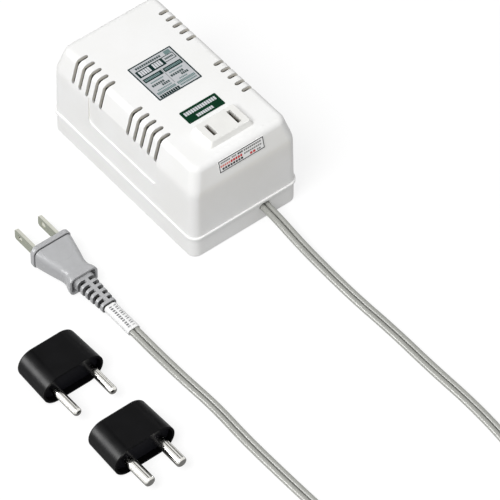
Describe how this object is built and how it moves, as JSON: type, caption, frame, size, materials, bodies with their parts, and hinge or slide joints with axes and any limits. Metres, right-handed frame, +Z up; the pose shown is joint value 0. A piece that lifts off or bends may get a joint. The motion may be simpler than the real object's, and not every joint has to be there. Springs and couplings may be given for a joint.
{
  "type": "travel voltage converter",
  "caption": "Box-shaped step-down travel voltage converter with a two-slot outlet on top, a flat mains cord with a moulded flat-blade plug, and loose round-pin plug adapters.",
  "frame": {"origin": "middle of the case's underside, on the surface that it stands on", "axes": "+Z up, Y along the case's length with the cord end at -Y, X across it with the plug and the adapters at -X"},
  "size_m": [0.1604, 0.3737, 0.0553],
  "materials": {
    "housing": "fine matt moulded plastic",
    "outlet_plastic": "warm white moulded plastic",
    "silver_foil": "satin printed foil",
    "green_foil": "printed foil",
    "white_foil": "printed foil",
    "contact_metal": "rolled strip",
    "screw_steel": "zinc plated",
    "lamination_steel": "stacked steel sheet",
    "bobbin_plastic": "moulded nylon",
    "enamelled_wire": "enamelled copper wire, wound",
    "insulation_tape": "polyester tape",
    "wire_cover": "soft vinyl",
    "fuse_body": "resin",
    "cord_vinyl": "soft vinyl",
    "plug_vinyl": "moulded vinyl",
    "bridge_plastic": "moulded hard plastic",
    "blade_metal": "nickel plated",
    "tag_paper": "printed paper",
    "adapter_plastic": "black moulded plastic",
    "pin_metal": "polished nickel plate"
  },
  "bodies": {
    "converter": {"top_cover": "housing", "base_pan": "housing", "case_screws": "screw_steel", "outlet_body": "outlet_plastic", "outlet_back": "outlet_plastic", "outlet_contacts": "contact_metal", "outlet_screws": "screw_steel", "rating_label": "silver_foil", "outlet_label": "green_foil", "caution_label": "white_foil", "e_laminations": "lamination_steel", "i_laminations": "lamination_steel", "bobbin": "bobbin_plastic", "primary_winding": "enamelled_wire", "secondary_winding": "enamelled_wire", "winding_wrap": "insulation_tape", "core_screws": "screw_steel", "primary_leads": "wire_cover", "secondary_leads": "wire_cover", "thermal_fuse": "fuse_body", "cord_clamp": "bobbin_plastic", "clamp_screws": "screw_steel", "converter_cord": "cord_vinyl", "cord_coil": "cord_vinyl", "plug_cord": "cord_vinyl", "cord_tag": "tag_paper", "plug_body": "plug_vinyl", "plug_strain_relief": "plug_vinyl", "plug_bridge": "bridge_plastic", "plug_blades": "blade_metal"},
    "thin_pin_adapter": {"thin_pin_adapter_shell": "adapter_plastic", "thin_pin_adapter_pin_plate": "adapter_plastic", "thin_pin_adapter_pins": "pin_metal", "thin_pin_adapter_contacts": "contact_metal"},
    "thick_pin_adapter": {"thick_pin_adapter_shell": "adapter_plastic", "thick_pin_adapter_pin_plate": "adapter_plastic", "thick_pin_adapter_pins": "pin_metal", "thick_pin_adapter_contacts": "contact_metal"}
  },
  "joints": [
    {"name": "thin_pin_adapter_lift", "type": "slide", "parent": "converter", "child": "thin_pin_adapter", "axis": [0, 0, 1], "range_m": [0, 0.06]},
    {"name": "thick_pin_adapter_lift", "type": "slide", "parent": "converter", "child": "thick_pin_adapter", "axis": [0, 0, 1], "range_m": [0, 0.06]}
  ]
}
